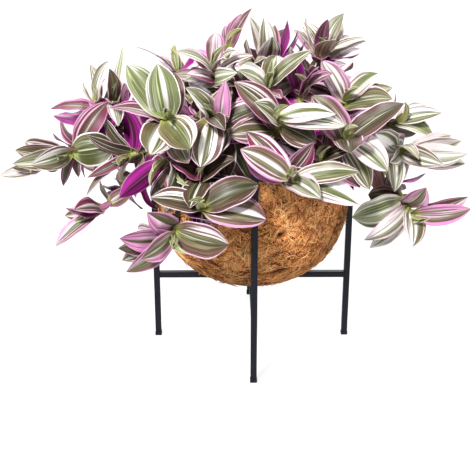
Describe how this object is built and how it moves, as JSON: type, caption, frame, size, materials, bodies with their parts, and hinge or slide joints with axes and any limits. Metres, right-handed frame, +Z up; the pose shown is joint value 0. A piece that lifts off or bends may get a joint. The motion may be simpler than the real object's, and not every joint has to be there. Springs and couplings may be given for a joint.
{
  "type": "potted tradescantia",
  "caption": "Bushy trailing house plant with striped green, white and pink leaves, in a round coir bowl carried between the legs of a dark metal plant stand.",
  "frame": {"origin": "on the floor under the middle of the whole object's outline, seen from above", "axes": "+Z up; +X to the right and +Y to the back, seen from the front leg; the stand's legs lie on lines along X and Y"},
  "size_m": [0.5836, 0.4348, 0.4449],
  "materials": {
    "powder_coat": "satin",
    "foot_plastic": "matte",
    "coir": "matte",
    "potting_soil": "matte",
    "leaf_and_stem": "satin"
  },
  "bodies": {
    "root": {"leg_front": "powder_coat", "foot_front": "foot_plastic", "leg_back": "powder_coat", "foot_back": "foot_plastic", "leg_left": "powder_coat", "foot_left": "foot_plastic", "leg_right": "powder_coat", "foot_right": "foot_plastic", "brace_through": "powder_coat", "brace_front": "powder_coat", "brace_back": "powder_coat", "coir_bowl": "coir", "soil": "potting_soil", "shoot_rosette": "leaf_and_stem", "shoot_white_left": "leaf_and_stem", "shoot_white_front": "leaf_and_stem", "shoot_pink_front": "leaf_and_stem", "shoot_pink_centre": "leaf_and_stem", "shoot_middle_arch": "leaf_and_stem", "shoot_right_arch": "leaf_and_stem", "shoot_right_low": "leaf_and_stem", "shoot_right_reach": "leaf_and_stem", "shoot_left_reach": "leaf_and_stem", "shoot_left_tip": "leaf_and_stem", "shoot_left_top": "leaf_and_stem", "shoot_left_inner": "leaf_and_stem", "shoot_left_hang": "leaf_and_stem", "shoot_bronze_top": "leaf_and_stem", "shoot_purple_spire": "leaf_and_stem", "shoot_top_fan": "leaf_and_stem", "shoot_top_front": "leaf_and_stem", "shoot_magenta_fold": "leaf_and_stem", "shoot_top_right": "leaf_and_stem", "shoot_right_top": "leaf_and_stem", "shoot_right_back": "leaf_and_stem", "shoot_left_low": "leaf_and_stem", "shoot_magenta_drop": "leaf_and_stem", "shoot_front_drop": "leaf_and_stem", "shoot_pink_spear": "leaf_and_stem", "shoot_back_purple": "leaf_and_stem", "shoot_front_middle": "leaf_and_stem", "shoot_right_inner": "leaf_and_stem", "shoot_back_low_1": "leaf_and_stem", "shoot_back_low_2": "leaf_and_stem", "shoot_back_low_3": "leaf_and_stem", "shoot_back_low_4": "leaf_and_stem", "shoot_back_low_5": "leaf_and_stem", "shoot_back_low_6": "leaf_and_stem", "shoot_back_middle_1": "leaf_and_stem", "shoot_back_middle_2": "leaf_and_stem", "shoot_back_middle_3": "leaf_and_stem", "shoot_back_middle_4": "leaf_and_stem", "shoot_back_middle_5": "leaf_and_stem", "shoot_back_middle_6": "leaf_and_stem", "shoot_back_upper_1": "leaf_and_stem", "shoot_back_upper_2": "leaf_and_stem", "shoot_back_upper_3": "leaf_and_stem", "shoot_back_upper_4": "leaf_and_stem", "shoot_back_crown_1": "leaf_and_stem", "shoot_back_crown_2": "leaf_and_stem"}
  },
  "joints": []
}
